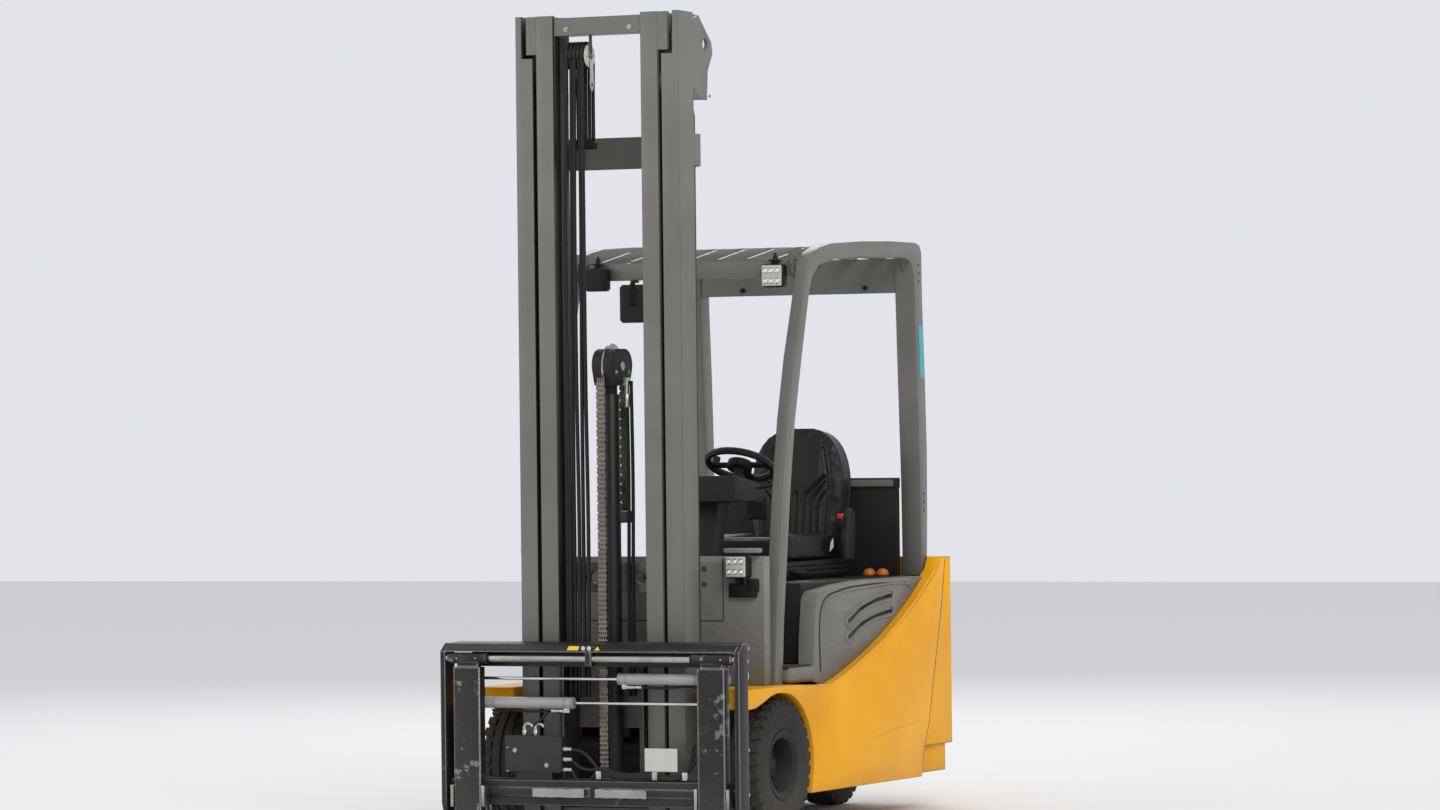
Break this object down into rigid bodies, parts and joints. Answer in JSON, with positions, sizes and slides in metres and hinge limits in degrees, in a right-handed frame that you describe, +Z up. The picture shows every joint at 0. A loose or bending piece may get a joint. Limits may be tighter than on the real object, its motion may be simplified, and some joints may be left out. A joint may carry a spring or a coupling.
{
  "type": "three-wheel electric counterbalance forklift truck",
  "caption": "Three-wheel electric counterbalance forklift with a two-stage full-free-lift mast, side-shifting fork positioner, overhead guard and twin rear steer wheels.",
  "frame": {"origin": "on the floor, in the middle of the truck's footprint", "axes": "+X to the truck's left, +Y towards its rear, +Z up; it drives towards -Y"},
  "size_m": [1.126, 3.162, 2.794],
  "materials": {
    "yellow_paint": "satin",
    "grey_paint": "satin",
    "grey_plastic": "matte",
    "black_paint": "satin, worn",
    "dark_plastic": "matte",
    "tyre": "matte",
    "seat_vinyl": "satin",
    "silver_paint": "satin",
    "chrome": "polished",
    "chain_steel": "oiled",
    "lamp_lens": "clear"
  },
  "bodies": {
    "chassis": {"chassis_frame": "black_paint", "front_axle": "black_paint", "traction_battery": "dark_plastic", "battery_hood": "dark_plastic", "side_panel_left": "yellow_paint", "side_panel_right": "yellow_paint", "wheel_arch_left": "yellow_paint", "wheel_arch_right": "yellow_paint", "side_cover_left": "grey_plastic", "side_cover_right": "grey_plastic", "counterweight": "yellow_paint", "front_cowl": "grey_plastic", "steering_console": "dark_plastic", "seat_suspension": "dark_plastic", "seat_cushion": "seat_vinyl", "seat_back": "seat_vinyl", "armrest": "dark_plastic", "guard_side_left": "grey_paint", "guard_side_right": "grey_paint", "guard_roof": "grey_paint", "rear_guard_panel": "dark_plastic", "upper_lamp_left": "lamp_lens", "upper_lamp_right": "lamp_lens", "lower_lamp_left": "lamp_lens", "lower_lamp_right": "lamp_lens", "mirror": "dark_plastic"},
    "steering_wheel": {"steering_wheel": "dark_plastic"},
    "front_wheel_left": {"front_tyre_left": "tyre", "front_rim_left": "dark_plastic"},
    "front_wheel_right": {"front_tyre_right": "tyre", "front_rim_right": "dark_plastic"},
    "steer_turntable": {"steer_turntable": "black_paint"},
    "rear_wheels": {"rear_wheel_hub": "dark_plastic", "rear_tyre_left": "tyre", "rear_tyre_right": "tyre"},
    "outer_mast": {"outer_mast_frame": "grey_paint", "lift_cylinder_left": "black_paint", "lift_cylinder_right": "black_paint"},
    "inner_mast": {"inner_mast_frame": "grey_paint", "lift_rod_left": "chrome", "lift_rod_right": "chrome", "free_lift_cylinder": "black_paint", "lift_chain_rear": "chain_steel"},
    "free_lift_head": {"free_lift_head": "dark_plastic", "lift_chain_front": "chain_steel"},
    "carriage": {"fork_carriage": "black_paint"},
    "attachment": {"attachment_frame": "black_paint", "fork_shaft": "chrome", "valve_block": "black_paint"},
    "fork_left": {"fork_left": "black_paint", "positioner_cylinder_left": "silver_paint", "positioner_rod_left": "chrome"},
    "fork_right": {"fork_right": "black_paint", "positioner_cylinder_right": "silver_paint", "positioner_rod_right": "chrome"},
    "tilt_barrel_left": {"tilt_cylinder_left": "black_paint"},
    "tilt_rod_left": {"tilt_rod_left": "chrome"},
    "tilt_barrel_right": {"tilt_cylinder_right": "black_paint"},
    "tilt_rod_right": {"tilt_rod_right": "chrome"}
  },
  "joints": [
    {"name": "front_wheel_left_spin", "type": "hinge", "parent": "chassis", "child": "front_wheel_left", "pos_m": [0.4475, 0.017, 0.2285], "axis": [1, 0, 0], "continuous": true},
    {"name": "front_wheel_right_spin", "type": "hinge", "parent": "chassis", "child": "front_wheel_right", "pos_m": [-0.4475, 0.017, 0.2285], "axis": [1, 0, 0], "continuous": true},
    {"name": "rear_steer", "type": "hinge", "parent": "chassis", "child": "steer_turntable", "pos_m": [0, 1.374, 0.19], "axis": [0, 0, 1], "range_deg": [-90, 90]},
    {"name": "rear_wheels_spin", "type": "hinge", "parent": "steer_turntable", "child": "rear_wheels", "pos_m": [0, 1.374, 0.19], "axis": [1, 0, 0], "continuous": true},
    {"name": "steering_wheel_turn", "type": "hinge", "parent": "chassis", "child": "steering_wheel", "pos_m": [0.1, 0.602, 1.25], "axis": [0, 0.4384, 0.8988], "range_deg": [-720, 720]},
    {"name": "mast_tilt", "type": "hinge", "parent": "chassis", "child": "outer_mast", "pos_m": [0, -0.103, 0.17], "axis": [1, 0, 0], "range_deg": [-7, 5]},
    {"name": "tilt_barrel_left_swing", "type": "hinge", "parent": "chassis", "child": "tilt_barrel_left", "pos_m": [0.185, 0.212, 0.39], "axis": [1, 0, 0], "range_deg": [-5, 5]},
    {"name": "tilt_rod_left_slide", "type": "slide", "parent": "tilt_barrel_left", "child": "tilt_rod_left", "axis": [0, -0.9856, 0.169], "range_m": [-0.045, 0.035]},
    {"name": "tilt_barrel_right_swing", "type": "hinge", "parent": "chassis", "child": "tilt_barrel_right", "pos_m": [-0.185, 0.212, 0.39], "axis": [1, 0, 0], "range_deg": [-5, 5]},
    {"name": "tilt_rod_right_slide", "type": "slide", "parent": "tilt_barrel_right", "child": "tilt_rod_right", "axis": [0, -0.9856, 0.169], "range_m": [-0.045, 0.035]},
    {"name": "mast_lift", "type": "slide", "parent": "outer_mast", "child": "inner_mast", "axis": [0, 0, 1], "range_m": [0, 2.1]},
    {"name": "carriage_lift", "type": "slide", "parent": "inner_mast", "child": "carriage", "axis": [0, 0, 1], "range_m": [0, 2.1], "deforming": ["lift_chain_front", "lift_chain_rear"]},
    {"name": "head_lift", "type": "slide", "parent": "inner_mast", "child": "free_lift_head", "axis": [0, 0, 1], "range_m": [0, 1.05]},
    {"name": "side_shift", "type": "slide", "parent": "carriage", "child": "attachment", "axis": [1, 0, 0], "range_m": [-0.06, 0.06]},
    {"name": "fork_left_slide", "type": "slide", "parent": "attachment", "child": "fork_left", "axis": [-1, 0, 0], "range_m": [0, 0.15]},
    {"name": "fork_right_slide", "type": "slide", "parent": "attachment", "child": "fork_right", "axis": [1, 0, 0], "range_m": [0, 0.15]}
  ],
  "couplings": [
    {"joint": "tilt_barrel_left_swing", "follows": "mast_tilt", "ratio": 0.21873},
    {"joint": "tilt_barrel_right_swing", "follows": "mast_tilt", "ratio": 0.21873},
    {"joint": "tilt_rod_left_slide", "follows": "mast_tilt", "m_per_rad": 0.27145},
    {"joint": "tilt_rod_right_slide", "follows": "mast_tilt", "m_per_rad": 0.27145},
    {"joint": "head_lift", "follows": "carriage_lift", "ratio": 0.5},
    {"joint": "fork_right_slide", "follows": "fork_left_slide", "ratio": 1}
  ]
}
